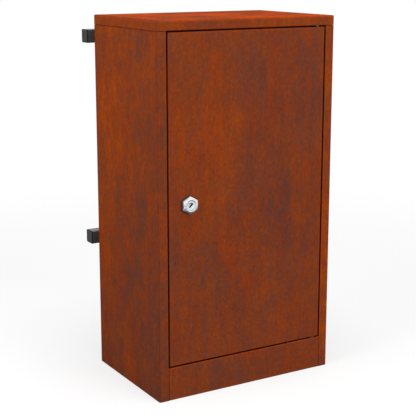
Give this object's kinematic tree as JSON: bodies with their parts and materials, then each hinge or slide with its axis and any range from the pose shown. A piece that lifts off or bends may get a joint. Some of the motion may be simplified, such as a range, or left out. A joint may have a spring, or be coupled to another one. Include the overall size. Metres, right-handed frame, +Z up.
{
  "type": "letter box",
  "caption": "Tall rusted steel letter box with a flush locking door, a rear mail slot under a weather flap, and two square tube rails behind it.",
  "frame": {"origin": "centre of the box's base, at floor level", "axes": "+Z up, the door faces -Y, the rails and the mail slot are at +Y, and the lock is towards -X"},
  "size_m": [0.3546, 0.25, 0.605],
  "materials": {
    "weathering_steel": "matte",
    "rusty_bracket": "matte",
    "rail_paint": "satin",
    "black_plastic": "satin",
    "rubber": "matte",
    "nylon": "satin",
    "chrome": "polished",
    "zinc": "satin"
  },
  "bodies": {
    "housing": {"body_shell": "weathering_steel", "top_cap": "weathering_steel", "bottom_pan": "weathering_steel", "left_flap_bracket": "rusty_bracket", "right_flap_bracket": "rusty_bracket", "upper_rail": "rail_paint", "lower_rail": "rail_paint", "upper_left_end_plug": "black_plastic", "upper_right_end_plug": "black_plastic", "lower_left_end_plug": "black_plastic", "lower_right_end_plug": "black_plastic", "door_bumpers": "rubber", "upper_hinge_bush": "nylon", "lower_hinge_bush": "nylon", "rail_bolts": "zinc", "rail_washers": "zinc", "rail_weld_nuts": "zinc", "flap_hinge_rod": "zinc", "rod_clips": "zinc"},
    "door": {"door_panel": "weathering_steel", "upper_hinge_pin": "zinc", "lower_hinge_pin": "zinc", "hinge_pin_nuts": "zinc", "lock_body": "chrome", "lock_gasket": "rubber", "lock_washer": "zinc", "lock_nut": "zinc"},
    "lock_core": {"lock_plug": "chrome", "lock_cam": "zinc", "cam_washer": "zinc", "cam_screw": "zinc"},
    "flap": {"mail_flap": "weathering_steel"}
  },
  "joints": [
    {"name": "door_hinge", "type": "hinge", "parent": "housing", "child": "door", "pos_m": [0.1361, -0.102, 0.322], "axis": [0, 0, 1], "range_deg": [0, 110]},
    {"name": "lock_turn", "type": "hinge", "parent": "door", "child": "lock_core", "pos_m": [-0.1105, -0.11, 0.319], "axis": [0, -1, 0], "range_deg": [0, 90]},
    {"name": "flap_hinge", "type": "hinge", "parent": "housing", "child": "flap", "pos_m": [0, 0.11496, 0.54744], "axis": [1, 0, 0], "range_deg": [0, 85]}
  ]
}
